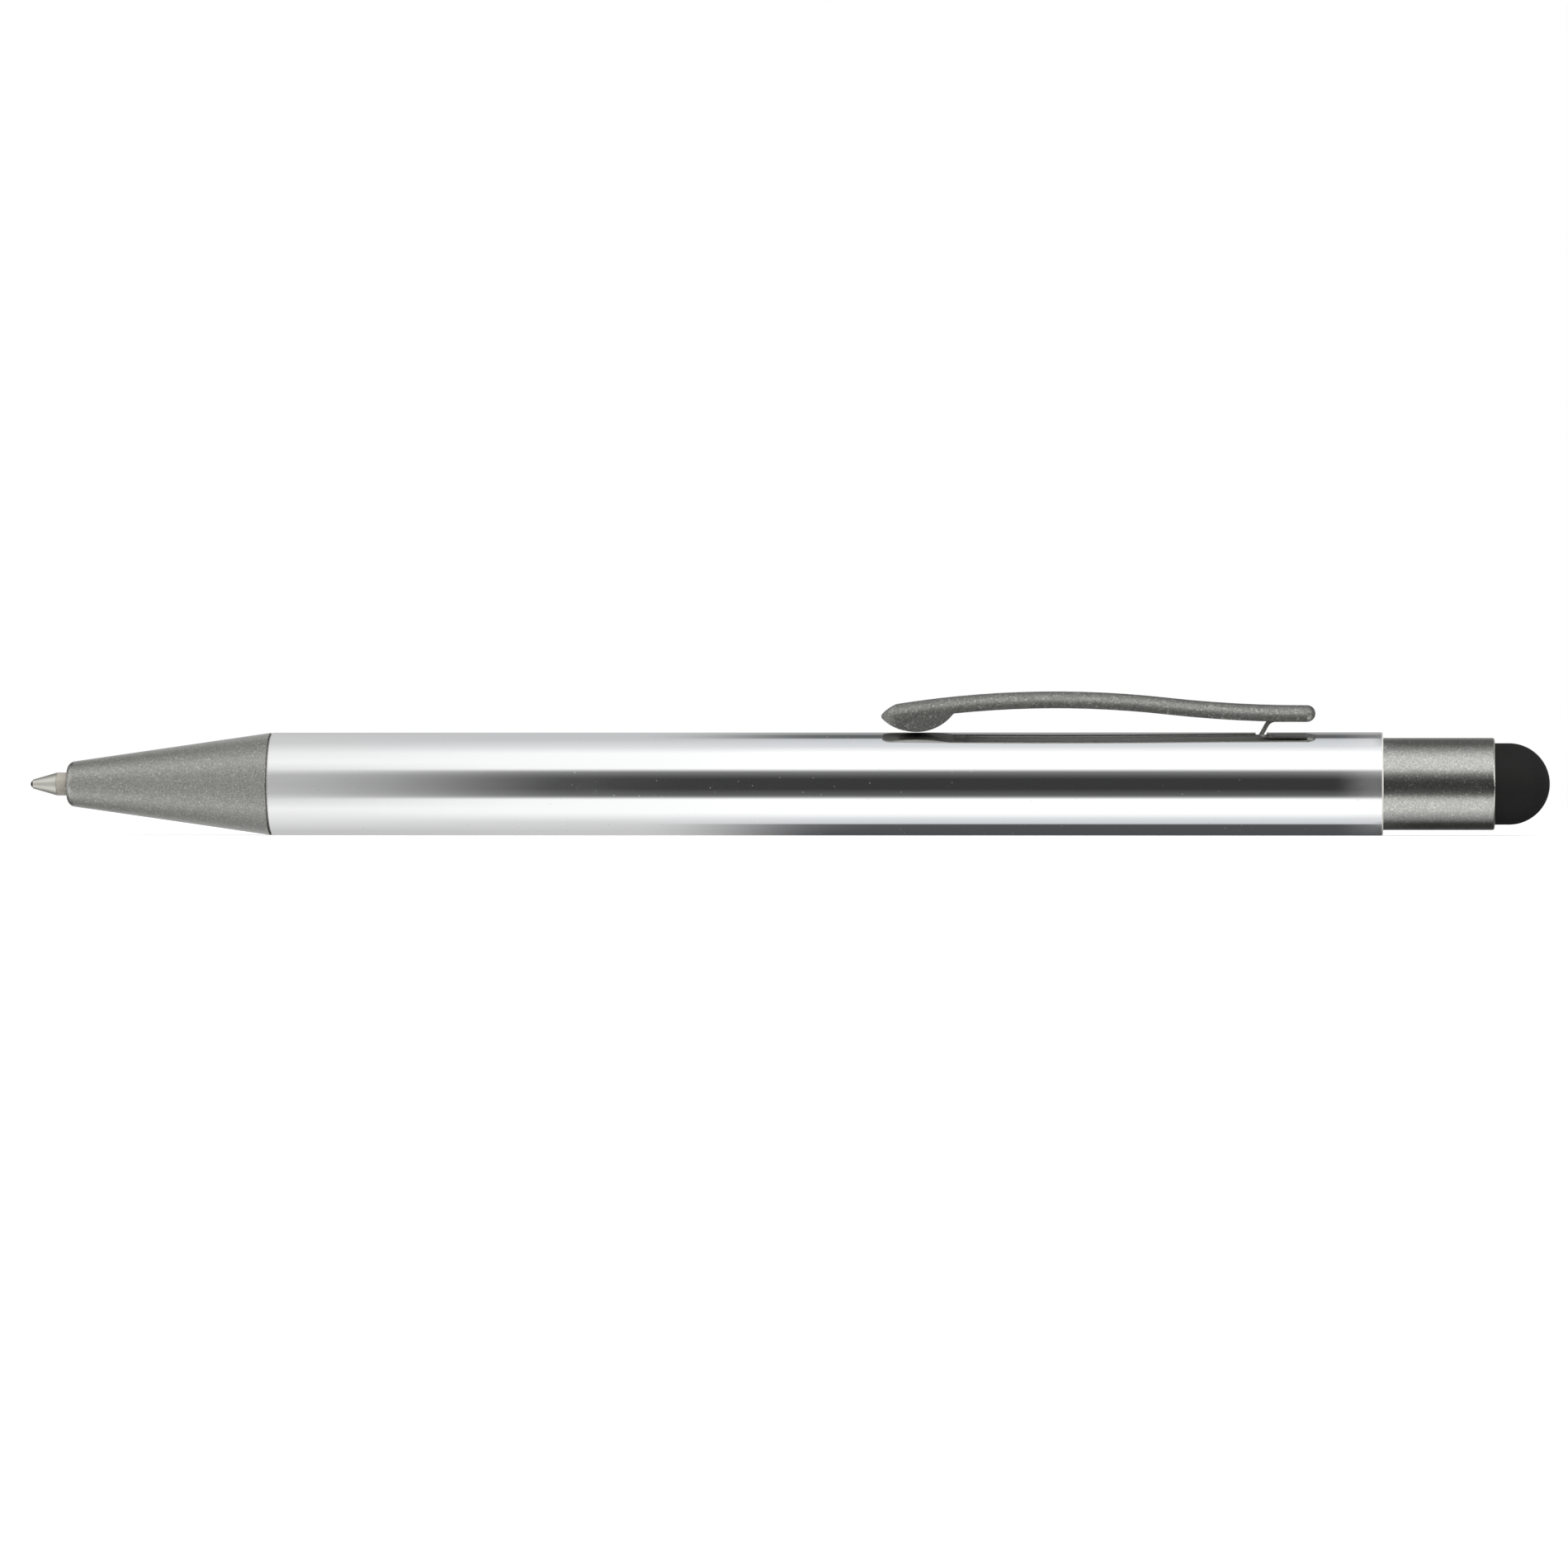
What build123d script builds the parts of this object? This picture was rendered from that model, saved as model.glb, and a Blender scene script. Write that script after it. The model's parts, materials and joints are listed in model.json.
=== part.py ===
from build123d import *
import math
import os

# Push-button ballpoint with a rubber stylus dome on its button, drawn with the point out.
# The pen lies along X: writing point towards -X, stylus towards +X, clip towards +Z.
# X is zero at the front face of the barrel. All lengths are in millimetres, all angles in degrees.

# Fits
press_gap = 0.02
run_gap = 0.05
cam_gap = 0.12
seam_gap = 0.03
seat_gap = 0.06
overrun = 1.0

# Barrel
barrel_diameter = 9.2
barrel_length = 99.4
barrel_wall = 0.45
rim_chamfer = 0.1

# Nose and its bush
nose_length = 18.45
nose_front_diameter = 3.9
nose_edge_radius = 0.75
nose_throat_length = 2.35
nose_sleeve_length = 6.1
spigot_length = 8.0
bush_length = 12.0
bush_wall = 0.65
bush_inset = 0.3

# Writing point and its holder
point_reach = 3.35
point_cone_length = 2.4
ball_diameter = 0.7
ball_gap = 0.02
ball_lip_share = 0.35
lip_wall = 0.06
ink_channel_diameter = 0.4
shank_diameter = 2.07
stub_diameter = 1.4
stub_length = 3.4
holder_flange_length = 0.5
holder_spigot_length = 3.0
holder_stop_gap = 0.4

# Ink tube, its ears and its contents
refill_diameter = 3.0
refill_wall = 0.5
ear_reach = 0.7
ear_thickness = 0.8
ear_length = 2.0
ink_length = 56.0
follower_length = 4.0

# Return spring, at its length with the point out
spring_wire = 0.4
spring_slack = 0.25
spring_bore_gap = 0.2
spring_length = 17.0
spring_turns = 10

# Button travel from the latched rest: out to the retracted point, and in to the end of the press
stroke = 5.0
over_press = 1.2

# Cam guide
guide_length = 26.0
guide_depth = 9.4
guide_wall = 0.58
guide_end_wall = 1.4
guide_lip = 0.2
key_stop_gap = 0.2

# Cam teeth, ribs and keys
rib_count = 3
rib_height = 0.75
rib_angle = 22.0
rib_length = 4.0
rib_setback = 1.8
cam_phase = 104.0
tooth_low_angle = -45.0
tooth_high_angle = 17.0
latch_gap = 0.5
notch_depth = 0.6
notch_side_angle = 2.0
twist_side_angle = 4.0
key_angle = 40.0
key_length = 1.5

# Rotor and plunger
rotor_length = 11.3
rotor_socket_depth = 2.0
plunger_nose_length = 4.2
crown_gap = 0.4
crown_groove_width = 1.2
crown_groove_depth = 0.7

# Button and stylus
button_reach = 9.9
button_wall = 0.45
button_front_gap = 0.3
button_edge_radius = 0.2
core_inset = 0.5
core_socket_depth = 6.0
skirt_length = 5.05
dome_reach = 4.9
dome_wall = 0.8
post_setback = 0.3
post_edge = 0.4

# Clip
clip_width = 4.0
clip_sheet = 0.38
clip_depth = 1.48
clip_shoulder_radius = 1.15
clip_crest_height = 3.65
clip_crest_from_rear = 29.2
clip_crest_radius = 90.0
clip_crest_reach = 10.0
clip_flare_length = 12.2
clip_tail_length = 0.26
foot_from_crest = 12.45
foot_radius = 4.2
foot_front_length = 3.1
foot_brow_length = 1.8
foot_brow_over = 0.07
foot_brow_bulge_share = 0.07
foot_tip_radius = 0.3
foot_corner_radius = 1.4
foot_rest_gap = 0.05
foot_neck_radius = 0.3
channel_start = 4.3

# Clip leg and hook
leg_width = 2.4
leg_lean = 28.7
leg_from_rear = 10.7
leg_bend_radius = 0.9
hook_drop = 0.62
hook_bend_radius = 0.5
hook_length = 1.4
slot_gap = 0.15
pocket_gap = 0.25

# Radii worked out from the sizes above
barrel_radius = barrel_diameter / 2
bore_radius = barrel_radius - barrel_wall
bush_radius = bore_radius - press_gap
bush_bore_radius = bush_radius - bush_wall
spigot_radius = bush_bore_radius - run_gap
nose_front_radius = nose_front_diameter / 2
ball_radius = ball_diameter / 2
shank_radius = shank_diameter / 2
stub_radius = stub_diameter / 2
refill_radius = refill_diameter / 2
refill_bore_radius = refill_radius - refill_wall
spring_radius = refill_radius + spring_slack + spring_wire / 2
spring_bore_radius = spring_radius + spring_wire / 2 + spring_bore_gap
throat_radius = shank_radius + run_gap
sleeve_bore_radius = refill_radius + spring_slack / 2
guide_radius = bore_radius - press_gap
slot_radius = guide_radius - guide_wall
rib_radius = slot_radius - cam_gap
tooth_bore_radius = rib_radius - rib_height
rotor_radius = tooth_bore_radius - cam_gap
guide_end_radius = tooth_bore_radius - guide_lip
stem_radius = guide_end_radius - cam_gap
button_radius = bore_radius - run_gap
button_bore_radius = button_radius - button_wall
dome_radius = button_bore_radius - press_gap
dome_bore_radius = dome_radius - dome_wall
post_radius = dome_bore_radius - press_gap

# Places along X, from the writing point to the stylus
nose_front = -nose_length
throat_end = nose_front + nose_throat_length
spring_seat = throat_end + nose_sleeve_length
point_end = nose_front - point_reach
ball_center = point_end + ball_radius
lip_x = ball_center - ball_lip_share * ball_radius
cone_base = point_end + point_cone_length
flange_front = throat_end + over_press + holder_stop_gap
flange_rear = flange_front + holder_flange_length
ear_front = spring_seat + spring_length
barrel_rear = barrel_length
guide_rear = barrel_rear - guide_depth
guide_front = guide_rear - guide_length
slot_end = guide_rear - guide_end_wall
key_rear = slot_end - stroke - key_stop_gap
key_front = key_rear - key_length
plunger_front = key_front - plunger_nose_length
rotor_rear = plunger_front - crown_gap
rotor_front = rotor_rear - rotor_length
rib_rear = rotor_rear - rib_setback
refill_rear = rotor_front + rotor_socket_depth - seat_gap
button_front = guide_rear + over_press + button_front_gap
button_rear = barrel_rear + button_reach
core_front = button_front + core_inset
core_shoulder = button_rear - skirt_length
plunger_rear = core_front + core_socket_depth - press_gap
dome_end = button_rear + dome_reach

# The rotor turns half a tooth pitch over the stroke
tooth_pitch = 360 / rib_count
turn_rate = tooth_pitch / 2 / stroke


def turned(*outline):
    """A solid turned about X from an outline of (x, radius) points."""
    return revolve(Plane.XZ * make_face(Polyline(*outline, close=True)), Axis.X)


def rod(x_start, x_end, radius):
    """A plain round rod along X."""
    return turned((x_start, 0), (x_end, 0), (x_end, radius), (x_start, radius))


def tube(x_start, x_end, radius, bore):
    """A plain round tube along X."""
    return turned((x_start, bore), (x_end, bore), (x_end, radius), (x_start, radius))


def ball(x_center, radius):
    """A ball on the pen's axis."""
    bow = ThreePointArc((x_center - radius, 0), (x_center, radius), (x_center + radius, 0))
    return revolve(Plane.XZ * make_face([bow, Line(bow @ 1, bow @ 0)]), Axis.X)


def block(x_start, x_end, y_width, z_low, z_high):
    """A box that is centred on the plane Y = 0."""
    middle = Pos((x_start + x_end) / 2, 0, (z_low + z_high) / 2)
    return middle * Box(x_end - x_start, y_width, z_high - z_low)


def sector_face(x, low_angle, high_angle, bore, radius):
    """A ring sector across the pen at x, with angles from +Y towards +Z."""
    def spot(reach, angle):
        turn = math.radians(angle)
        return (x, reach * math.cos(turn), reach * math.sin(turn))

    middle = (low_angle + high_angle) / 2
    outer = ThreePointArc(spot(radius, low_angle), spot(radius, middle), spot(radius, high_angle))
    inner = ThreePointArc(spot(bore, high_angle), spot(bore, middle), spot(bore, low_angle))
    sides = [Line(outer @ 1, inner @ 0), Line(inner @ 1, outer @ 0)]
    return make_face([outer, sides[0], inner, sides[1]])


def sector(x_start, x_end, low_angle, high_angle, bore, radius):
    """A straight ring sector along X."""
    face = sector_face(x_start, low_angle, high_angle, bore, radius)
    return extrude(face, x_end - x_start, dir=(1, 0, 0))


def twisted_sector(x_start, x_end, low_angle, high_angle, bore, radius):
    """A ring sector that turns with X at the rate of the cam. Its angles are those at x_start."""
    face = sector_face(x_start, low_angle, high_angle, bore, radius).face()
    length = x_end - x_start
    return Solid.extrude_linear_with_rotation(face, (x_start, 0, 0), (length, 0, 0), length * turn_rate)


def crown_grooves(x, direction):
    """Crossed V grooves that leave twice as many crown teeth as there are ribs, on an end face at x."""
    half = crown_groove_width / 2
    deep = x + direction * crown_groove_depth
    outside = x - direction * overrun
    corners = [(outside, -half), (x, -half), (deep, 0), (x, half), (outside, half)]
    profile = make_face(Polyline(*corners, close=True))
    groove = extrude(Plane.XZ * profile, rotor_radius + overrun, both=True)
    return [Rot(X=cam_phase + index * tooth_pitch / 2) * groove for index in range(rib_count)]


def around(shape):
    """The shape repeated once for each rib, turned to the cam's phase."""
    return [Rot(X=cam_phase + index * tooth_pitch) * shape for index in range(rib_count)]


def leg_x(z):
    """Where the middle of the clip's leg lies at a height, on its slanted line."""
    return barrel_rear - leg_from_rear - (barrel_radius - z) * math.tan(math.radians(leg_lean))


# Heights and places of the clip
hook_z = bore_radius - hook_drop
hook_front = leg_x(hook_z) - hook_length
leg_half_x = clip_sheet / 2 / math.cos(math.radians(leg_lean))
slot_front_x = leg_x(bore_radius) - leg_half_x - slot_gap
slot_rear_x = leg_x(barrel_radius) + leg_half_x + slot_gap
pocket_floor = hook_z - clip_sheet / 2 - pocket_gap
crest_x = barrel_rear - clip_crest_from_rear
crest_z = barrel_radius + clip_crest_height
foot_x = crest_x - foot_from_crest
foot_front = foot_x - foot_front_length
foot_center_z = barrel_radius + foot_rest_gap + foot_radius
flare_start_x = crest_x + clip_crest_reach
flare_end_x = flare_start_x + clip_flare_length
tail_x = flare_end_x + clip_tail_length
flare_angle = math.asin(clip_crest_reach / clip_crest_radius)
flare_radius = clip_flare_length / math.sin(flare_angle)
crest_center = Vector(crest_x, crest_z - clip_crest_radius)
flare_center = crest_center + Vector(clip_crest_reach, clip_crest_radius * math.cos(flare_angle)) * (
    1 + flare_radius / clip_crest_radius)
tail_z = flare_center.Y - flare_radius


def clip_line(depth, x_start):
    """The line at a depth below the clip's top, from about x_start to the tail: two arcs and a straight."""
    start_angle = math.asin((x_start - crest_x) / clip_crest_radius)

    def crest_point(angle):
        return crest_center + Vector(math.sin(angle), math.cos(angle)) * (clip_crest_radius - depth)

    def flare_point(angle):
        return flare_center - Vector(math.sin(angle), math.cos(angle)) * (flare_radius + depth)

    middle = (start_angle + flare_angle) / 2
    crest = ThreePointArc(crest_point(start_angle), crest_point(middle), crest_point(flare_angle))
    flare = ThreePointArc(flare_point(flare_angle), flare_point(flare_angle / 2), flare_point(0))
    return [crest, flare, Line(flare @ 1, (tail_x, tail_z - depth))]


def clip_band(near, far, x_start):
    """The face between two depths below the clip's top line, from x_start to the tail."""
    top = clip_line(near, x_start)
    low = clip_line(far, x_start)
    ends = [Line(top[0] @ 0, low[0] @ 0), Line(top[2] @ 1, low[2] @ 1)]
    return make_face(top + low + ends)


def crown_face(inset, drop):
    """The clip's section at an inset below its outside: a flat top, round shoulders and straight sides."""
    section = Pos(0, -(inset + drop) / 2) * Rectangle(clip_width - 2 * inset, drop - inset)
    return fillet(section.vertices().group_by(Axis.Y)[-1], clip_shoulder_radius - inset)


def crown_run(inset, x_start):
    """The clip's section run along its top line, well past its depth."""
    path = Plane.XZ * Wire(clip_line(0, x_start))
    square = Plane(origin=path @ 0, x_dir=(0, 1, 0), z_dir=path % 0)
    return sweep(square * crown_face(inset, clip_crest_height + overrun), path=path)


def make_barrel_tube():
    rim_radius = barrel_radius - rim_chamfer
    barrel = turned(
        (0, bore_radius), (barrel_rear, bore_radius), (barrel_rear, rim_radius),
        (barrel_rear - rim_chamfer, barrel_radius), (rim_chamfer, barrel_radius), (0, rim_radius))
    slot = block(slot_front_x, slot_rear_x, leg_width + 2 * slot_gap, 0, barrel_radius + overrun)
    return barrel - slot


def make_nose_cone():
    shoulder = -seam_gap
    slope = (barrel_radius - nose_front_radius) / nose_length
    rim_radius = barrel_radius - rim_chamfer * slope
    body = turned(
        (nose_front, 0), (nose_front, nose_front_radius), (shoulder - rim_chamfer, rim_radius),
        (shoulder, rim_radius - rim_chamfer), (shoulder, spigot_radius), (spigot_length, spigot_radius),
        (spigot_length, 0))
    front_edge = body.edges().filter_by(GeomType.CIRCLE).sort_by(Axis.X)[0]
    body = fillet(front_edge, nose_edge_radius)
    bores = turned(
        (nose_front - overrun, 0), (nose_front - overrun, throat_radius), (throat_end, throat_radius),
        (throat_end, sleeve_bore_radius), (spring_seat, sleeve_bore_radius),
        (spring_seat, spring_bore_radius), (spigot_length + overrun, spring_bore_radius),
        (spigot_length + overrun, 0))
    return body - bores


def make_front_bush():
    return tube(bush_inset, bush_inset + bush_length, bush_radius, bush_bore_radius)


def make_writing_ball():
    return ball(ball_center, ball_radius)


def make_refill_point():
    socket_radius = ball_radius + ball_gap
    channel = ink_channel_diameter / 2
    lip_depth = ball_center - lip_x
    ball_at_lip = math.sqrt(ball_radius ** 2 - lip_depth ** 2)
    socket_at_lip = math.sqrt(socket_radius ** 2 - lip_depth ** 2)
    lip_bore = (ball_at_lip + socket_at_lip) / 2
    seat_start = ball_center + socket_radius * (math.sqrt(2) - 1)
    seat_end = ball_center + socket_radius * math.sqrt(2) - channel
    stub_end = cone_base + stub_length
    return turned(
        (lip_x, lip_bore), (lip_x, socket_at_lip + lip_wall), (cone_base, shank_radius),
        (cone_base, stub_radius), (stub_end, stub_radius), (stub_end, channel), (seat_end, channel),
        (seat_start, socket_radius), (ball_center, socket_radius))


def make_point_holder():
    nozzle_front = cone_base + press_gap
    stub_bore = stub_radius + press_gap
    stub_end = cone_base + stub_length + press_gap
    spigot_end = flange_rear + holder_spigot_length
    spigot = refill_bore_radius - press_gap
    return turned(
        (nozzle_front, stub_bore), (nozzle_front, shank_radius), (flange_front, shank_radius),
        (flange_front, refill_radius), (flange_rear, refill_radius), (flange_rear, spigot),
        (spigot_end, spigot), (spigot_end, ink_channel_diameter), (stub_end, ink_channel_diameter),
        (stub_end, stub_bore))


def make_refill_tube():
    body = tube(flange_rear + press_gap, refill_rear, refill_radius, refill_bore_radius)
    ear_rear = ear_front + ear_length
    ear_tip = refill_radius + ear_reach
    ears = block(ear_front, ear_rear, ear_thickness, -ear_tip, ear_tip)
    return body + (ears - rod(ear_front - overrun, ear_rear + overrun, refill_radius - refill_wall / 2))


def make_ink_column():
    start = flange_rear + holder_spigot_length + press_gap
    return rod(start, start + ink_length, refill_bore_radius - press_gap)


def make_ink_follower():
    start = flange_rear + holder_spigot_length + ink_length + 2 * press_gap
    return rod(start, start + follower_length, refill_bore_radius - press_gap)


def spring_knots():
    """Points and unit tangents of the coil, two to a turn."""
    start = spring_seat + seat_gap + spring_wire / 2
    end = ear_front - seat_gap - spring_wire / 2
    climb = (end - start) / (2 * math.pi * spring_turns)
    knots = []
    for index in range(2 * spring_turns + 1):
        turn = index * math.pi
        spot = Vector(start + climb * turn, spring_radius * math.cos(turn), spring_radius * math.sin(turn))
        run = Vector(climb, -spring_radius * math.sin(turn), spring_radius * math.cos(turn))
        knots.append((spot, run.normalized()))
    return knots


def biarc(first, last):
    """Two tangent arcs between two points with given tangents."""
    start, leave = first
    end, arrive = last
    chord = end - start
    both = leave + arrive
    spread = 2 * (1 - leave.dot(arrive))
    lean = chord.dot(both)
    reach = (-lean + math.sqrt(lean ** 2 + spread * chord.dot(chord))) / spread
    middle = (start + leave * reach + end - arrive * reach) / 2
    first_arc = Edge.make_tangent_arc(start, leave, middle)
    return [first_arc, Edge.make_tangent_arc(middle, first_arc % 1, end)]


def least_spring_gap(path, steps_per_arc=12):
    """The least clear distance between two turns of the coil, measured on points along it."""
    spots = [arc @ (step / steps_per_arc) for arc in path for step in range(steps_per_arc)]
    half_turn = len(spots) // (2 * spring_turns)
    return min(
        (spots[far] - spots[near]).length
        for near in range(len(spots)) for far in range(near + half_turn, len(spots))) - spring_wire


def make_return_spring():
    knots = spring_knots()
    path = [arc for first, last in zip(knots, knots[1:]) for arc in biarc(first, last)]
    start, run = knots[0]
    section = Plane(origin=start, z_dir=run) * Circle(spring_wire / 2)
    print("least gap between spring turns", round(least_spring_gap(path), 3))
    return sweep(section, path=Wire(path))


def make_cam_guide():
    shell = turned(
        (guide_front, slot_radius), (slot_end, slot_radius), (slot_end, guide_end_radius),
        (guide_rear, guide_end_radius), (guide_rear, guide_radius), (guide_front, guide_radius))
    ramp_zero = rib_rear + latch_gap
    tooth_front = ramp_zero + tooth_low_angle / turn_rate
    tooth_outer = slot_radius + guide_wall / 2
    tooth_rear = slot_end + guide_end_wall / 2
    tooth = sector(
        tooth_front, tooth_rear, tooth_low_angle, tooth_high_angle, tooth_bore_radius, tooth_outer)
    side = twist_side_angle / turn_rate
    free_low = tooth_low_angle - twist_side_angle
    free_high = tooth_high_angle + twist_side_angle
    free_start = tooth_front - side
    free_end = ramp_zero + tooth_high_angle / turn_rate + side
    twist_bore = tooth_bore_radius - cam_gap
    twist_radius = slot_radius + guide_wall
    free = twisted_sector(free_start, free_end, free_low, free_high, twist_bore, twist_radius)
    half_notch = rib_angle / 2 + notch_side_angle
    notch = Pos(notch_depth, 0, 0) * free & sector(
        free_start, free_end + notch_depth, -half_notch, half_notch, twist_bore, twist_radius)
    guide = shell + around(tooth - free - notch)
    pocket_width = leg_width + 2 * pocket_gap
    pocket_top = guide_radius + overrun
    return guide - block(hook_front - pocket_gap, slot_rear_x, pocket_width, pocket_floor, pocket_top)


def make_cam_rotor():
    body = rod(rotor_front, rotor_rear, rotor_radius)
    rib_front = rib_rear - rib_length
    half_rib = rib_angle / 2
    side = (half_rib + twist_side_angle) / turn_rate
    root = rotor_radius - cam_gap
    rib = sector(rib_front, rib_rear + side, -half_rib, half_rib, root, rib_radius)
    free_high = -half_rib - twist_side_angle
    free = twisted_sector(
        rib_rear - side, rib_rear + side, free_high - 2 * rib_angle, free_high, root - cam_gap, slot_radius)
    socket = rod(rotor_front - overrun, rotor_front + rotor_socket_depth, refill_radius + run_gap)
    vent = rod(rotor_front, rotor_front + rib_length + rotor_socket_depth, refill_bore_radius)
    return body + around(rib - free) - socket - vent - crown_grooves(rotor_rear, -1)


def make_cam_plunger():
    stem = rod(plunger_front, plunger_rear, stem_radius)
    slot_middle = (tooth_high_angle + tooth_low_angle + tooth_pitch) / 2
    key = sector(
        key_front, key_rear, slot_middle - key_angle / 2, slot_middle + key_angle / 2,
        stem_radius - cam_gap, rib_radius)
    return stem + around(key) - crown_grooves(plunger_front, 1)


def make_button_sleeve():
    sleeve = tube(button_front, button_rear, button_radius, button_bore_radius)
    rear_edge = sleeve.edges().filter_by(GeomType.CIRCLE).group_by(Axis.X)[-1].sort_by(SortBy.RADIUS)[-1]
    return fillet(rear_edge, button_edge_radius)


def make_stylus_core():
    post_end = button_rear - post_setback
    socket_end = core_front + core_socket_depth
    socket = stem_radius + press_gap
    return turned(
        (core_front, socket), (core_front, dome_radius), (core_shoulder - press_gap, dome_radius),
        (core_shoulder - press_gap, post_radius), (post_end - post_edge, post_radius),
        (post_end, post_radius - post_edge), (post_end, 0), (socket_end, 0), (socket_end, socket))


def make_stylus_tip():
    dome_start = dome_end - dome_radius
    outer = rod(core_shoulder, dome_start, dome_radius) + ball(dome_start, dome_radius)
    inner = rod(core_shoulder - overrun, dome_start, dome_bore_radius) + ball(dome_start, dome_bore_radius)
    return outer - inner


def make_clip():
    tip = Vector(foot_front, foot_center_z - math.sqrt(foot_radius ** 2 - foot_front_length ** 2))
    brow_end = clip_line(-foot_brow_over, foot_front + foot_brow_length)[0] @ 0
    bulge = foot_brow_bulge_share * (brow_end - tip).length
    ahead_x = foot_x - foot_radius - overrun
    ahead_z = foot_center_z + foot_radius + overrun
    ahead = make_face([
        SagittaArc(tip, brow_end, bulge),
        Polyline(brow_end, (brow_end.X, ahead_z), (ahead_x, ahead_z), (ahead_x, tip.Y), tip)])
    foot = Pos(foot_x, foot_center_z) * Circle(foot_radius) - ahead
    outline = clip_band(-overrun, clip_depth, foot_x) + foot
    outline = fillet(outline.vertices().sort_by(Axis.X)[0], foot_tip_radius)
    corners = [spot for spot in outline.vertices() if foot_x < spot.X < crest_x]
    outline = fillet(min(corners, key=lambda spot: spot.Y), foot_neck_radius)
    plan_length = tail_x + overrun - foot_front
    plan = Pos(foot_front + plan_length / 2, 0) * Rectangle(plan_length, clip_width)
    plan = fillet(plan.vertices().group_by(Axis.X)[0], foot_corner_radius)
    bar = extrude(Plane.XZ * outline, clip_width, both=True) & crown_run(0, foot_front - overrun)
    bar = bar & extrude(plan, crest_z + overrun)
    bar = bar - crown_run(clip_sheet, foot_x + channel_start)
    upper_half = crown_face(0, clip_depth) & Rectangle(clip_width, clip_depth)
    tail_end = Plane(origin=(tail_x, 0, tail_z), x_dir=(0, 1, 0), z_dir=(1, 0, 0))
    fold = revolve(tail_end * upper_half, Axis((tail_x, 0, tail_z - clip_depth / 2), (0, 1, 0)), 180)
    strip_z = tail_z - clip_depth + clip_sheet / 2
    route = FilletPolyline(
        (tail_x, strip_z), (leg_x(strip_z), strip_z), (leg_x(hook_z), hook_z),
        (hook_front, hook_z), radius=[leg_bend_radius, hook_bend_radius])
    leg = extrude(Plane.XZ * trace(route, line_width=clip_sheet), leg_width / 2, both=True)
    return bar + fold + leg


pieces = {
    "barrel_tube": make_barrel_tube,
    "nose_cone": make_nose_cone,
    "front_bush": make_front_bush,
    "clip": make_clip,
    "button_sleeve": make_button_sleeve,
    "stylus_tip": make_stylus_tip,
    "stylus_core": make_stylus_core,
    "cam_guide": make_cam_guide,
    "cam_rotor": make_cam_rotor,
    "cam_plunger": make_cam_plunger,
    "return_spring": make_return_spring,
    "refill_tube": make_refill_tube,
    "refill_point": make_refill_point,
    "point_holder": make_point_holder,
    "writing_ball": make_writing_ball,
    "ink_column": make_ink_column,
    "ink_follower": make_ink_follower,
}

os.makedirs("parts", exist_ok=True)
for name, make in pieces.items():
    export_step(make(), f"parts/{name}.step")
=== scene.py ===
import json
import math
import bpy
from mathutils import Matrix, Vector


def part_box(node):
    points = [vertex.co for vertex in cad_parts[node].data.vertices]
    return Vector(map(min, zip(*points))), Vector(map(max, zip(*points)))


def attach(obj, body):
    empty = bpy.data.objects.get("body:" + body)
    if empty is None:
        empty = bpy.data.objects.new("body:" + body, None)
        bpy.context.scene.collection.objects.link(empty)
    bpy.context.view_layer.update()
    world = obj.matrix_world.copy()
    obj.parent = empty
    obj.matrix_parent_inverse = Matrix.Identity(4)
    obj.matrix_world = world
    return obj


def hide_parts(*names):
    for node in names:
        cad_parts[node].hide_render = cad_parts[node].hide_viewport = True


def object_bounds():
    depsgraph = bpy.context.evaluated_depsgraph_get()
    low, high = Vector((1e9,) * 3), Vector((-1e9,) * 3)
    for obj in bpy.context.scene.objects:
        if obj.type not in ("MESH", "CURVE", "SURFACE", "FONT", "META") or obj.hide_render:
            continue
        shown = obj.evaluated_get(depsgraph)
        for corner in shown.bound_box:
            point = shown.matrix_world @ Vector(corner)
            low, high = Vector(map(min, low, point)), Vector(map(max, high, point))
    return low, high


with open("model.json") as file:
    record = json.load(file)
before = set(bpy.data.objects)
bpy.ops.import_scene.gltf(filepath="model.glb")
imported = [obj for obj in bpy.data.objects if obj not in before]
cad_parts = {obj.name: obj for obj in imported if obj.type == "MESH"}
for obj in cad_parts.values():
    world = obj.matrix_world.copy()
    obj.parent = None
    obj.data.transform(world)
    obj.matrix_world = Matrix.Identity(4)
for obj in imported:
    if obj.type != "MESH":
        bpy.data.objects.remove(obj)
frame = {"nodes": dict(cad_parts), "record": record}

cad_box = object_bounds()

# Lengths are in metres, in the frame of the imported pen: point towards -X, stylus towards +X, clip up
MM = 0.001

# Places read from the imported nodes
barrel_low, barrel_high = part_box("barrel_tube")
rubber_low, rubber_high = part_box("stylus_tip")
clip_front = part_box("clip")[0].x
sleeve_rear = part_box("button_sleeve")[1].x
barrel_front = barrel_low.x
barrel_rear = barrel_high.x
pen_middle = (cad_box[0].x + cad_box[1].x) / 2

# Camera: level with the pen's axis, beside its rear half and turned a little towards the point
camera_spot = (92.0 * MM, -760.0 * MM, 0.0)
camera_aim = (46.0 * MM, 0.0, 0.0)
camera_lens = 195.6
camera_near = 10.0 * MM
camera_far = 10.0

# Floor: it glows a little for the camera, more so away from the pen, so that it reads as white
floor_width = 1.6
floor_height = barrel_low.z
floor_colour = (0.82, 0.82, 0.82, 1)
near_floor_glow = 0.45
far_floor_glow = 0.7
glow_rise_start = 50.0 * MM
glow_rise_end = 300.0 * MM

# Lamps and the light of the sky
sky_level = 0.45
key_spot = (20.0 * MM, -380.0 * MM, 600.0 * MM)
key_width = 0.55
key_power = 2.6
fill_spot = (320.0 * MM, -420.0 * MM, 180.0 * MM)
fill_width = 0.4
fill_power = 0.8

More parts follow.
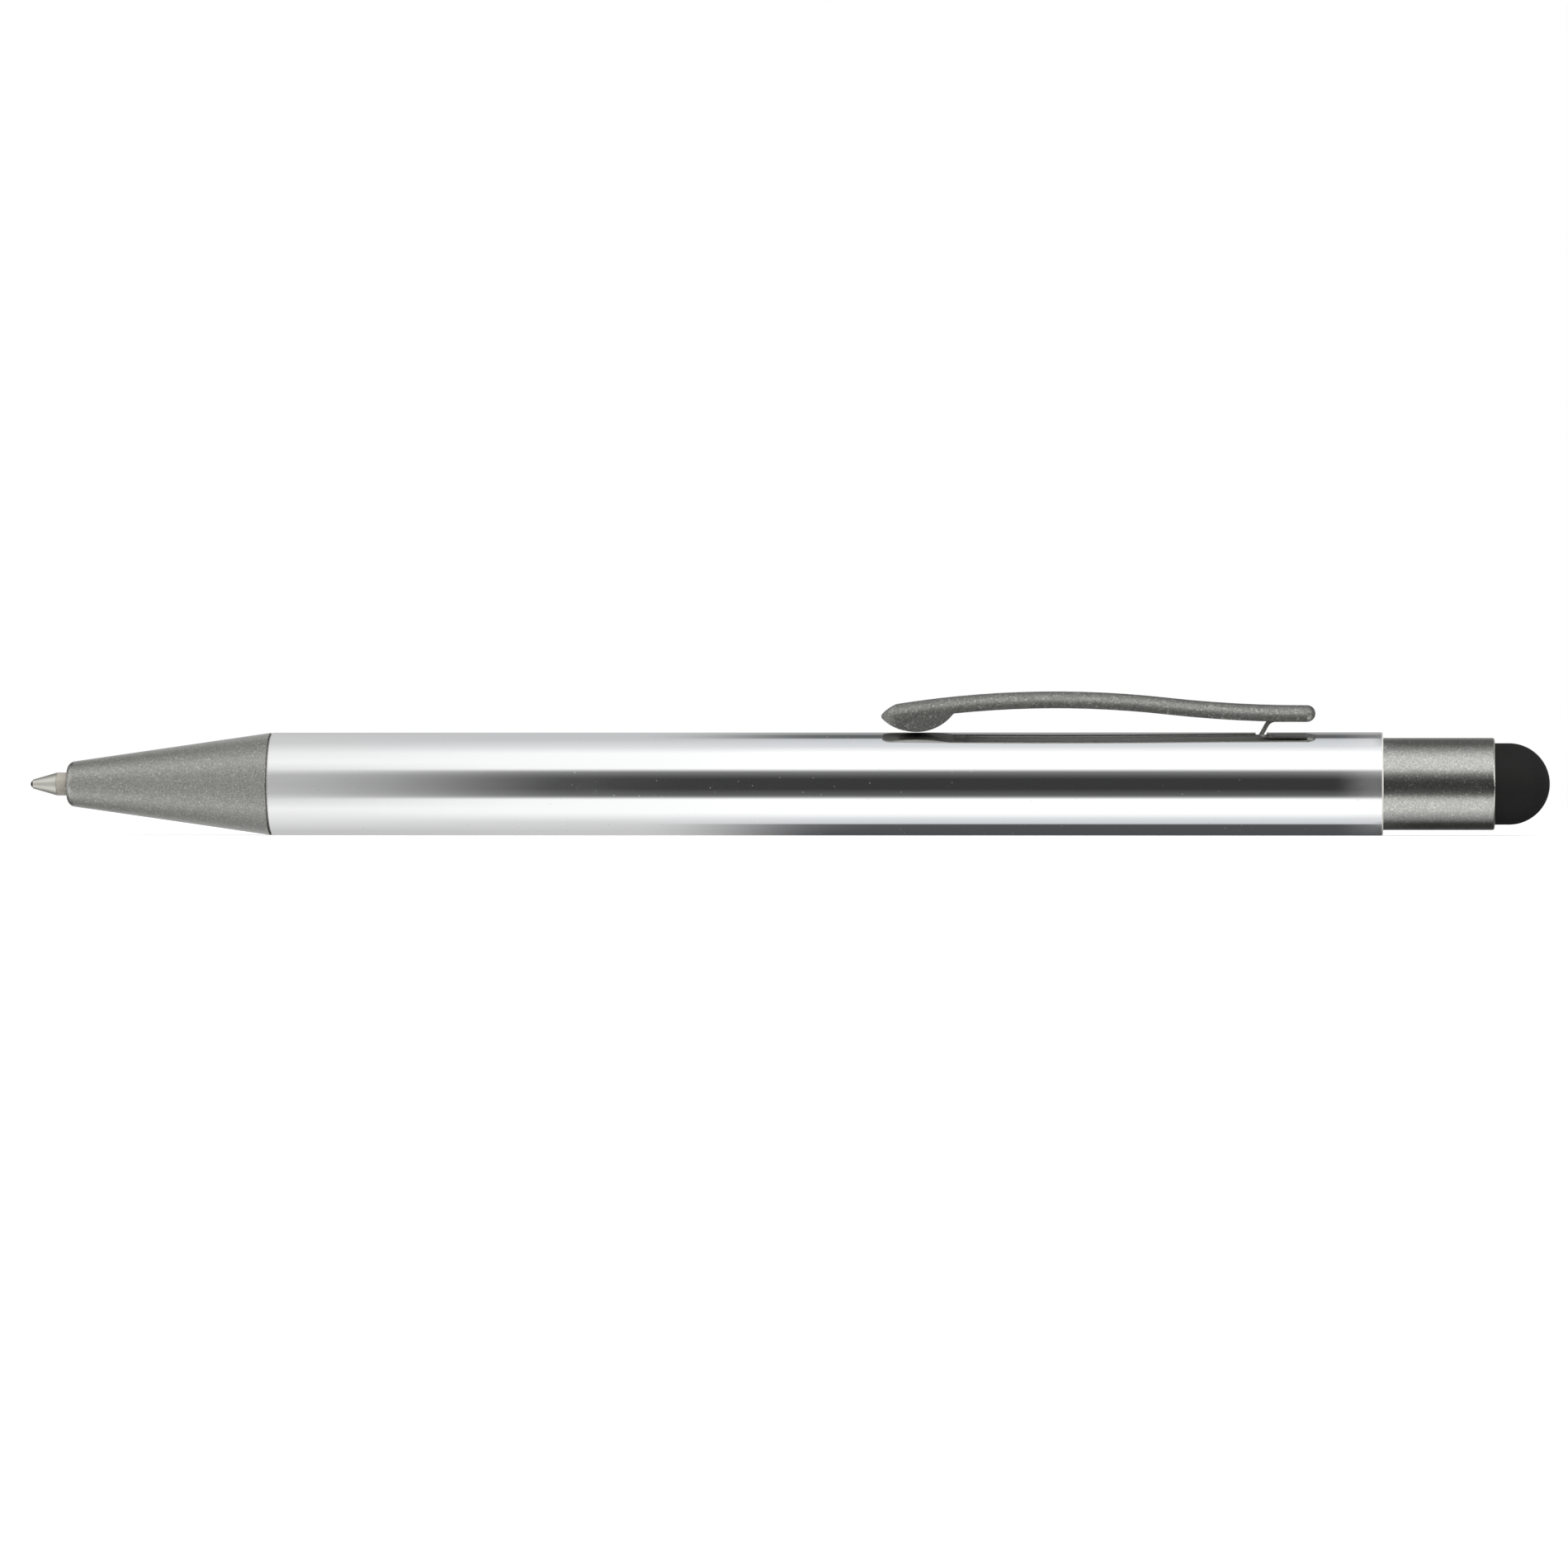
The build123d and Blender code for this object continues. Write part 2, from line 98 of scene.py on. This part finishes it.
# Dark panels above and below the button, which only mirrors see. They get lighter towards the camera,
# from one share of their width to the other, and fade towards the point.
panel_length = 13.7 * MM
panel_width = 16.6 * MM
panel_depth = 5.4 * MM
panel_height = 16.4 * MM
panel_tilt = -24.6
panel_fade = 2.0 * MM
panel_grade_shares = (-0.55, 0.0)
panel_edge_level = 0.52
upper_panel_level = 0.17
lower_panel_level = 0.06

# Tube: draw lines, clouds, specks of dust, and how far the haze and the bare cuts reach from its ends
draw_line_grain = (9.0 * MM, 0.05 * MM, 0.05 * MM)
draw_line_depth = 0.00004 * MM
tube_cloud_grain = (6.0 * MM, 2.0 * MM, 2.0 * MM)
dust_size = 0.09 * MM
dust_limits = (0.9975, 0.9995)
haze_start = 4.5 * MM
haze_full = 0.8 * MM
cut_edge = 0.13 * MM
cut_edge_colour = (0.95, 0.93, 0.87, 1)

# Satin lacquer: flakes, the few that glint, clouds and a fine skin. The painted shade along the seam is
# measured from the tube's front, and the bare rim from the sleeve's rear.
flake_size = 0.07 * MM
flake_blur = 0.16 * MM
glint_size = 0.13 * MM
glint_limits = (0.9, 0.99)
glint_colour = (0.95, 0.94, 0.89, 1)
lacquer_cloud = 1.6 * MM
lacquer_grain = 0.12 * MM
lacquer_depth = 0.002 * MM
seam_start = 0.13 * MM
seam_full = 0.07 * MM
seam_end = 0.1 * MM
painted_seam_shade = (0.06, 0.06, 0.055, 1)
rim_start = 0.14 * MM
rim_full = 0.1 * MM
rim_colour = (0.95, 0.93, 0.86, 1)

# Clip: painted shade where faces point down: how steeply a face points down to count as underneath,
# and how far behind the clip's front the painted shade gets lighter
underneath_limits = (-0.75, -0.35)
shade_fade_start = 3.0 * MM
shade_fade_full = 11.0 * MM
deep_underside_shade = (0.2, 0.2, 0.19, 1)
pale_underside_shade = (0.5, 0.5, 0.48, 1)

# Rubber dome
rubber_wall = 0.8 * MM
rubber_grain = 0.09 * MM
rubber_depth = 0.006 * MM
rubber_wear = 1.4 * MM
dome_points = 128
dome_steps = 128
dome_crease = 40
merge_distance = 0.002 * MM

# Turned metal, spring wire, moulded plastic and paste
turning_grain = (0.035 * MM, 4.0 * MM, 4.0 * MM)
turning_depth = 0.0012 * MM
turned_cloud = 0.9 * MM
wire_grain = (0.3 * MM, 0.08 * MM, 0.08 * MM)
wire_depth = 0.002 * MM
plastic_cloud_grain = (2.5 * MM, 1.2 * MM, 1.2 * MM)
plastic_grain = 0.12 * MM
plastic_depth = 0.002 * MM
paste_grain = (3.0 * MM, 0.4 * MM, 0.4 * MM)


def set_stops(ramp, stops):
    """Gives a colour ramp its stops, as (place, colour)."""
    while len(ramp.elements) < len(stops):
        ramp.elements.new(1.0)
    for element, (place, colour) in zip(ramp.elements, stops):
        element.position = place
        element.color = (*colour, 1)


class Shade:
    """One socket of a node tree. Sums, differences and products of it add Math nodes."""

    def __init__(self, tree, socket=None):
        self.tree = tree
        self.socket = socket

    def node(self, kind, settings=None, inputs=None, output=0):
        """Adds a node of any kind: its settings first, then the values or links of its sockets."""
        made = self.tree.nodes.new(kind)
        for name, setting in (settings or {}).items():
            if name == "stops":
                set_stops(made.color_ramp, setting)
            else:
                setattr(made, name, setting)
        for name, value in (inputs or {}).items():
            if isinstance(value, Shade):
                self.tree.links.new(value.socket, made.inputs[name])
            else:
                made.inputs[name].default_value = value
        return Shade(self.tree, made.outputs[output] if made.outputs else None)

    def math(self, operation, *values):
        return self.node("ShaderNodeMath", {"operation": operation}, dict(enumerate(values)))

    def __add__(self, other):
        return self.math("ADD", self, other)

    __radd__ = __add__

    def __sub__(self, other):
        return self.math("SUBTRACT", self, other)

    def __rsub__(self, other):
        return self.math("SUBTRACT", other, self)

    def __mul__(self, other):
        return self.math("MULTIPLY", self, other)

    __rmul__ = __mul__

    def __neg__(self):
        return self.math("MULTIPLY", self, -1.0)

    def smooth(self, low, high):
        """0 below low, 1 above high and a soft step between them."""
        return self.node(
            "ShaderNodeMapRange", {"interpolation_type": "SMOOTHSTEP"},
            {"Value": self, "From Min": low, "From Max": high})

    def mix(self, first, second):
        """The first colour where this value is 0, the second where it is 1."""
        return self.node("ShaderNodeMix", {"data_type": "RGBA"}, {0: self, 6: first, 7: second}, 2)

    def parts(self):
        """The three values of a vector."""
        split = self.node("ShaderNodeSeparateXYZ", None, {0: self}).socket.node
        return [Shade(self.tree, socket) for socket in split.outputs]


class Finish(Shade):
    """A material with one principled shader, and the patterns that its finish is made of."""

    def __init__(self, name, colour, **constants):
        self.material = bpy.data.materials.new(name)
        self.material.use_nodes = True
        self.material.diffuse_color = (*colour, 1)
        super().__init__(self.material.node_tree)
        self.shader = self.tree.nodes["Principled BSDF"]
        self.set("Base Color", (*colour, 1))
        for socket, value in constants.items():
            self.set(socket.replace("_", " ").title().replace("Ior", "IOR"), value)
        self.place = self.node("ShaderNodeTexCoord", output="Object")

    def set(self, socket, value):
        if isinstance(value, Shade):
            self.tree.links.new(value.socket, self.shader.inputs[socket])
        else:
            self.shader.inputs[socket].default_value = value

    def along(self):
        """The place along the pen."""
        return self.place.parts()[0]

    def stretched(self, grain):
        """Object coordinates in which one unit is the grain: one size, or one for each axis."""
        sizes = grain if isinstance(grain, tuple) else (grain, grain, grain)
        scale = [1 / size for size in sizes]
        return self.node("ShaderNodeMapping", None, {"Vector": self.place, "Scale": scale})

    def noise(self, grain, detail=2.0):
        """Soft noise from 0 to 1."""
        inputs = {"Vector": self.stretched(grain), "Scale": 1.0, "Detail": detail}
        return self.node("ShaderNodeTexNoise", None, inputs)

    def cells(self, size):
        """A random value from 0 to 1 in each cell."""
        inputs = {"Vector": self.stretched(size), "Scale": 1.0}
        return self.node("ShaderNodeTexVoronoi", None, inputs, "Color").parts()[0]

    def bump(self, height):
        """Feeds a height in metres to the shader's normal."""
        self.set("Normal", self.node("ShaderNodeBump", None, {"Height": height, "Distance": 1.0}))


def polished_aluminium():
    """Drawn tube, polished and clear anodised: almost a mirror, with faint draw lines and fine dust."""
    finish = Finish("polished_aluminium", (0.965, 0.967, 0.97), metallic=1.0)
    draw_lines = finish.noise(draw_line_grain, detail=3.0)
    cloud = finish.noise(tube_cloud_grain)
    dust = finish.cells(dust_size).smooth(*dust_limits)
    along = finish.along()
    haze = along.smooth(barrel_rear - haze_start, barrel_rear - haze_full)
    rear_cut = along.smooth(barrel_rear - cut_edge, barrel_rear - 0.8 * cut_edge)
    front_cut = 1 - along.smooth(barrel_front, barrel_front + cut_edge)
    cuts = rear_cut + front_cut
    tube = cloud.mix((0.975, 0.977, 0.98, 1), (0.955, 0.958, 0.962, 1))
    finish.set("Base Color", cuts.mix(tube, cut_edge_colour))
    finish.set("Roughness", 0.035 + 0.03 * draw_lines + 0.03 * cloud + 0.25 * dust + 0.3 * cuts)
    finish.set("Metallic", 1 - 0.13 * haze - 0.7 * cuts)
    finish.bump(draw_lines * draw_line_depth)
    return finish.material


def satin_lacquer(name, dark, light):
    """Lacquer full of metal flakes, a few of which glint: its finish, its colour and added roughness."""
    finish = Finish(name, light, metallic=1.0)
    flakes = 0.5 * finish.cells(flake_size) + 0.5 * finish.noise(flake_blur, detail=1.0)
    glints = finish.cells(glint_size).smooth(*glint_limits)
    cloud = finish.noise(lacquer_cloud, detail=4.0)
    colour = flakes.mix((*dark, 1), (*light, 1))
    colour = (glints * 0.4).mix(colour, glint_colour)
    finish.bump(finish.noise(lacquer_grain, detail=3.0) * lacquer_depth)
    return finish, colour, 0.06 * cloud + 0.05 * glints


def satin_grey():
    """The lacquer of the nose and the button, with painted shade along the nose's seam and the button's
    bare rim.
    """
    finish, colour, rougher = satin_lacquer("satin_grey", (0.26, 0.262, 0.247), (0.705, 0.705, 0.668))
    along = finish.along()
    behind_nose = along.smooth(barrel_front, barrel_front + seam_end)
    # Painted shade: a dark band on the nose where it meets the tube, a little rougher too.
    seam = along.smooth(barrel_front - seam_start, barrel_front - seam_full) * (1 - behind_nose)
    colour = (seam * 0.75).mix(colour, painted_seam_shade)
    rim = along.smooth(sleeve_rear - rim_start, sleeve_rear - rim_full)
    finish.set("Base Color", (rim * 0.8).mix(colour, rim_colour))
    finish.set("Roughness", 0.19 + rougher + 0.3 * seam)
    return finish.material


def satin_clip_painted_shade():
    """The clip's lacquer: rougher, darkened by painted shade, and darkest facing down near the foot."""
    # Painted shade: the clip takes the grey lacquer's colours, darkened.
    finish, colour, rougher = satin_lacquer("satin_clip_painted_shade", (0.12, 0.121, 0.115), (0.53, 0.53, 0.5))
    facing = finish.node("ShaderNodeNewGeometry", output="Normal").parts()[2]
    # Painted shade: faces that point down get a dark colour, paler from 3 to 11 mm behind the clip's
    # front.
    underneath = 1 - facing.smooth(*underneath_limits)
    shade_fade = finish.along().smooth(clip_front + shade_fade_start, clip_front + shade_fade_full)
    underside = shade_fade.mix(deep_underside_shade, pale_underside_shade)
    finish.set("Base Color", (underneath * 0.8).mix(colour, underside))
    finish.set("Roughness", 0.38 + rougher)
    return finish.material


def black_rubber():
    """Matte conductive rubber with a fine moulded grain and a little wear."""
    finish = Finish("black_rubber", (0.011, 0.011, 0.011), specular_ior_level=0.22)
    worn = finish.noise(rubber_wear, detail=3.0)
    finish.set("Base Color", worn.mix((0.008, 0.008, 0.008, 1), (0.014, 0.014, 0.0135, 1)))
    finish.set("Roughness", 0.62 + 0.16 * worn)
    finish.bump(finish.noise(rubber_grain, detail=3.0) * rubber_depth)
    return finish.material


def turned_metal(name, dark, light, roughness):
    """Bare metal from the lathe: fine rings across X."""
    finish = Finish(name, light, metallic=1.0)
    rings = finish.noise(turning_grain, detail=3.0)
    cloud = finish.noise(turned_cloud, detail=3.0)
    finish.set("Base Color", cloud.mix((*dark, 1), (*light, 1)))
    finish.set("Roughness", roughness + 0.12 * rings + 0.06 * cloud)
    finish.bump(rings * turning_depth)
    return finish.material


def drawn_wire():
    """Spring wire with streaks and a grey scale."""
    finish = Finish("spring_steel", (0.6, 0.6, 0.6), metallic=1.0)
    streaks = finish.noise(wire_grain, detail=4.0)
    finish.set("Base Color", streaks.mix((0.42, 0.42, 0.43, 1), (0.68, 0.68, 0.67, 1)))
    finish.set("Roughness", 0.22 + 0.2 * streaks)
    finish.bump(streaks * wire_depth)
    return finish.material


def moulded_plastic(name, dark, light, roughness, **constants):
    """Moulded plastic with a faint cloudiness and a fine skin."""
    finish = Finish(name, light, **constants)
    cloud = finish.noise(plastic_cloud_grain, detail=3.0)
    skin = finish.noise(plastic_grain)
    finish.set("Base Color", cloud.mix((*dark, 1), (*light, 1)))
    finish.set("Roughness", roughness + 0.14 * skin)
    finish.bump(skin * plastic_depth)
    return finish.material


def thick_paste(name, dark, light, roughness):
    """Ink or grease: smooth and wet, with slow streaks along the tube."""
    finish = Finish(name, light)
    streaks = finish.noise(paste_grain)
    finish.set("Base Color", streaks.mix((*dark, 1), (*light, 1)))
    finish.set("Roughness", roughness + 0.1 * streaks)
    return finish.material


finishes = {
    "polished_aluminium": polished_aluminium(),
    "satin_grey": satin_grey(),
    "black_rubber": black_rubber(),
    "nickel_silver": turned_metal("nickel_silver", (0.76, 0.75, 0.69), (0.9, 0.89, 0.82), 0.24),
    "carbide": turned_metal("carbide", (0.03, 0.03, 0.03), (0.05, 0.05, 0.05), 0.12),
    "brass": turned_metal("brass", (0.6, 0.43, 0.18), (0.76, 0.58, 0.28), 0.24),
    "spring_steel": drawn_wire(),
    "pale_plastic": moulded_plastic(
        "pale_plastic", (0.58, 0.535, 0.465), (0.68, 0.645, 0.58), 0.25, transmission_weight=0.35),
    "white_acetal": moulded_plastic("white_acetal", (0.74, 0.73, 0.69), (0.84, 0.84, 0.8), 0.38),
    "black_acetal": moulded_plastic("black_acetal", (0.018, 0.018, 0.019), (0.03, 0.03, 0.031), 0.4),
    "ink": thick_paste("ink", (0.004, 0.004, 0.012), (0.01, 0.01, 0.03), 0.12),
    "grease": thick_paste("grease", (0.7, 0.62, 0.42), (0.82, 0.78, 0.62), 0.18),
}


def dress_nodes():
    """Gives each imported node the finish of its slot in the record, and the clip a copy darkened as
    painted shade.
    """
    for part in frame["record"]["subparts"]:
        mesh = frame["nodes"][part["node"]].data
        mesh.materials.clear()
        mesh.materials.append(finishes[part["material_slot"]])
    frame["nodes"]["clip"].data.materials[0] = satin_clip_painted_shade()


def select_where(piece, wanted):
    """In edit mode, selects just the points of a mesh that pass a test."""
    bpy.ops.mesh.select_all(action="DESELECT")
    bpy.ops.object.mode_set(mode="OBJECT")
    for point in piece.data.vertices:
        point.select = wanted(point.co)
    bpy.ops.object.mode_set(mode="EDIT")


def draw_on(dx, dz):
    """Extrudes the selected point of an outline by a step along X and Z."""
    bpy.ops.mesh.extrude_vertices_move(TRANSFORM_OT_translate={"value": (dx, 0, dz)})


def make_rubber_dome():
    """The hollow dome: half of its outline is drawn, given a wall and spun about the pen's axis."""
    radius = rubber_high.z
    dome_start = rubber_high.x - radius
    skirt_start = rubber_low.x
    bpy.ops.object.select_all(action="DESELECT")
    bpy.ops.mesh.primitive_circle_add(
        vertices=dome_points, radius=radius, location=(dome_start, 0, 0),
        rotation=(math.radians(90), 0, 0))
    dome = bpy.context.object
    dome.name = "rubber_dome"
    bpy.ops.object.transform_apply(location=True, rotation=True, scale=True)
    bpy.ops.object.mode_set(mode="EDIT")
    bpy.context.tool_settings.mesh_select_mode = (True, False, False)
    for plane_normal in ((1, 0, 0), (0, 0, 1)):
        bpy.ops.mesh.select_all(action="SELECT")
        bpy.ops.mesh.bisect(plane_co=(dome_start, 0, 0), plane_no=plane_normal, clear_inner=True)
    select_where(dome, lambda spot: spot.z > radius - merge_distance)
    draw_on(skirt_start - dome_start, 0)
    draw_on(0, -rubber_wall)
    draw_on(sleeve_rear - skirt_start, 0)
    draw_on(0, rubber_wall - radius)
    bpy.ops.mesh.select_all(action="SELECT")
    bpy.ops.mesh.spin(
        steps=dome_steps, angle=math.radians(360), center=(0, 0, 0), axis=(1, 0, 0), use_auto_merge=True)
    bpy.ops.mesh.select_all(action="SELECT")
    bpy.ops.mesh.remove_doubles(threshold=merge_distance)
    bpy.ops.mesh.normals_make_consistent(inside=False)
    bpy.ops.object.mode_set(mode="OBJECT")
    bpy.ops.object.shade_smooth_by_angle(angle=math.radians(dome_crease))
    dome.data.materials.clear()
    dome.data.materials.append(finishes["black_rubber"])
    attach(dome, "button")
    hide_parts("stylus_tip")


def empty_material(name):
    """A material without nodes, and the means to add some."""
    material = bpy.data.materials.new(name)
    material.use_nodes = True
    material.node_tree.nodes.clear()
    return material, Shade(material.node_tree)


def make_floor():
    """A pale floor that reads as white and keeps the shadow."""
    bpy.ops.object.select_all(action="DESELECT")
    bpy.ops.mesh.primitive_plane_add(size=floor_width, location=(pen_middle, 0, floor_height))
    floor = bpy.context.object
    floor.name = "floor"
    floor.visible_glossy = False
    material, shade = empty_material("pale_floor")
    x, y, _ = shade.node("ShaderNodeTexCoord", output="Object").parts()
    far = shade.math("SQRT", x * x + y * y).smooth(glow_rise_start, glow_rise_end)
    level = near_floor_glow + (far_floor_glow - near_floor_glow) * far
    camera_sees = shade.node("ShaderNodeLightPath", output="Is Camera Ray")
    matte = shade.node("ShaderNodeBsdfDiffuse", None, {"Color": floor_colour})
    glow = shade.node("ShaderNodeEmission", None, {"Strength": camera_sees * level})
    both = shade.node("ShaderNodeAddShader", None, {0: matte, 1: glow})
    shade.node("ShaderNodeOutputMaterial", None, {"Surface": both})
    floor.data.materials.append(material)


def make_panel(name, side, level):
    """A dark panel behind the button, above it or below it, which darkens the edge of its sheen."""
    middle = barrel_rear + (panel_length - panel_fade) / 2
    bpy.ops.object.select_all(action="DESELECT")
    bpy.ops.mesh.primitive_plane_add(
        size=1.0, location=(middle, panel_depth, side * panel_height),
        rotation=(side * math.radians(panel_tilt), 0, 0))
    panel = bpy.context.object
    panel.name = name
    panel.scale = (panel_length, panel_width, 1.0)
    panel.visible_camera = False
    panel.visible_diffuse = False
    panel.visible_transmission = False
    panel.visible_shadow = False
    material, shade = empty_material(name)
    along, across, _ = shade.node("ShaderNodeTexCoord", output="Object").parts()
    edge = (panel_edge_level, panel_edge_level, panel_edge_level, 1)
    grey = across.smooth(*panel_grade_shares).mix(edge, (level, level, level, 1))
    glow = shade.node("ShaderNodeEmission", None, {"Color": grey, "Strength": 1.0})
    clear = shade.node("ShaderNodeBsdfTransparent")
    shown = along.smooth(-0.5, -0.5 + panel_fade / panel_length)
    faded = shade.node("ShaderNodeMixShader", None, {0: shown, 1: clear, 2: glow})
    shade.node("ShaderNodeOutputMaterial", None, {"Surface": faded})
    panel.data.materials.append(material)


def make_studio():
    """The room that mirrors see, white for the camera, and the even light of the sky for the rest."""
    world = bpy.data.worlds.new("studio")
    world.use_nodes = True
    world.node_tree.nodes.clear()
    bpy.context.scene.world = world
    shade = Shade(world.node_tree)
    x, y, z = shade.node("ShaderNodeTexCoord", output="Generated").parts()
    angle = shade.math("ARCTAN2", z, -y)
    turn = angle * (0.5 / math.pi) + 0.5

    def stop(degrees, level, blue=1.0):
        return (0.5 + degrees / 360, (level, level * (1 + blue) / 2, level * blue))

    def ramp(*values):
        stops = [stop(*value) for value in values]
        return shade.node("ShaderNodeValToRGB", {"stops": stops}, {"Fac": turn})

    # Each stop: degrees about X, up from straight behind the camera, then how bright and how blue it is
    tent = ramp(
        (-180, 0.53), (-130, 0.57), (-90, 0.76), (-58, 0.9), (-40, 0.74), (-20, 0.52), (0, 0.49),
        (20, 0.52), (32, 0.76), (50, 0.93), (75, 0.84), (105, 0.63), (180, 0.53))
    point_side = ramp(
        (-180, 0.36), (-158, 0.22), (-132, 0.22), (-118, 0.5), (-90, 0.76), (-58, 0.9), (-40, 0.74),
        (-20, 0.5), (0, 0.46), (20, 0.5), (32, 0.76), (50, 0.93), (75, 0.84), (105, 0.63), (122, 0.54),
        (134, 0.3), (158, 0.28), (168, 0.36), (180, 0.38))
    nose_side = ramp(
        (-180, 0.06), (-115, 0.24), (-60, 0.67), (-25, 0.53), (0, 0.51), (25, 0.53), (60, 0.72),
        (115, 0.26), (180, 0.07))
    open_back = ramp(
        (-180, 0.55), (-130, 0.6), (-95, 0.7), (-68, 1.0), (-35, 1.0), (-29, 0.28), (-26, 0.12),
        (-11, 0.04), (11, 0.04), (18, 0.09), (27, 0.2), (35, 1.0), (72, 1.0), (90, 0.75, 1.03),
        (118, 0.57, 1.04), (180, 0.55))
    dark_back = ramp(
        (-180, 0.16), (-158, 0.07, 1.1), (-104, 0.08, 1.1), (-100, 0.6, 1.07), (-86, 0.72, 1.06),
        (-67, 1.1), (-35, 1.1), (-29, 0.28), (-26, 0.12), (-11, 0.04), (11, 0.04), (18, 0.09), (27, 0.2),
        (35, 1.1), (74, 1.1), (92, 0.72, 1.05), (120, 0.56, 1.06), (126.5, 0.11, 1.05),
        (139, 0.11, 1.05), (151, 0.34, 1.02), (180, 0.4))
    rear_side = ramp(
        (-180, 0.3), (-150, 0.1), (-108, 0.1), (-93, 0.5), (-80, 0.7), (-66, 1.15), (-42, 1.15),
        (-32, 0.34), (-23, 0.09), (-13, 0.02), (8, 0.02), (20, 0.26), (30, 0.72), (40, 1.28), (66, 1.28),
        (80, 0.78), (93, 0.52), (122, 0.5), (129, 0.2), (146, 0.2), (160, 0.36), (180, 0.4))

    # Each zone takes over from the one before it as the direction leans more towards +X
    zones = (
        (-0.88, -0.73, point_side), (-0.63, -0.51, nose_side), (-0.33, -0.2, tent),
        (-0.121, -0.084, open_back), (-0.077, -0.055, dark_back), (0.011, 0.02, rear_side))
    mirrored = tent
    for start, end, zone in zones:
        mirrored = x.smooth(start, end).mix(mirrored, zone)
    camera, glossy, clear = [
        shade.node("ShaderNodeLightPath", output=name)
        for name in ("Is Camera Ray", "Is Glossy Ray", "Is Transmission Ray")]
    room = shade.node("ShaderNodeBackground", None, {"Color": mirrored, "Strength": 1.0})
    sky = shade.node("ShaderNodeBackground", None, {"Color": (1, 1, 1, 1), "Strength": sky_level})
    white = shade.node("ShaderNodeBackground", None, {"Color": (1, 1, 1, 1), "Strength": 1.0})
    lit = shade.node("ShaderNodeMixShader", None, {0: glossy, 1: sky, 2: room})
    looked_at = shade.math("MAXIMUM", camera, clear)
    seen = shade.node("ShaderNodeMixShader", None, {0: looked_at, 1: lit, 2: white})
    shade.node("ShaderNodeOutputWorld", None, {"Surface": seen})


def place_facing(name, data, spot, aim):
    """Puts a lamp or a camera at a spot, facing another one."""
    stand = bpy.data.objects.new(name, data)
    stand.location = spot
    stand.rotation_mode = "QUATERNION"
    stand.rotation_quaternion = (Vector(aim) - Vector(spot)).to_track_quat("-Z", "Y")
    bpy.context.scene.collection.objects.link(stand)
    return stand


def add_lamp(name, spot, width, power):
    """A square soft box that faces the middle of the pen and shows in no mirror."""
    lamp = bpy.data.lights.new(name, "AREA")
    lamp.size = width
    lamp.energy = power
    place_facing(name, lamp, spot, (pen_middle, 0, 0)).visible_glossy = False


def add_camera():
    camera = bpy.data.cameras.new("camera")
    camera.lens = camera_lens
    camera.clip_start = camera_near
    camera.clip_end = camera_far
    bpy.context.scene.camera = place_facing("camera", camera, camera_spot, camera_aim)


dress_nodes()
make_rubber_dome()
make_floor()
make_panel("upper_panel", 1, upper_panel_level)
make_panel("lower_panel", -1, lower_panel_level)
make_studio()
add_lamp("key", key_spot, key_width, key_power)
add_lamp("fill", fill_spot, fill_width, fill_power)
add_camera()
bpy.context.scene.view_settings.view_transform = "Standard"
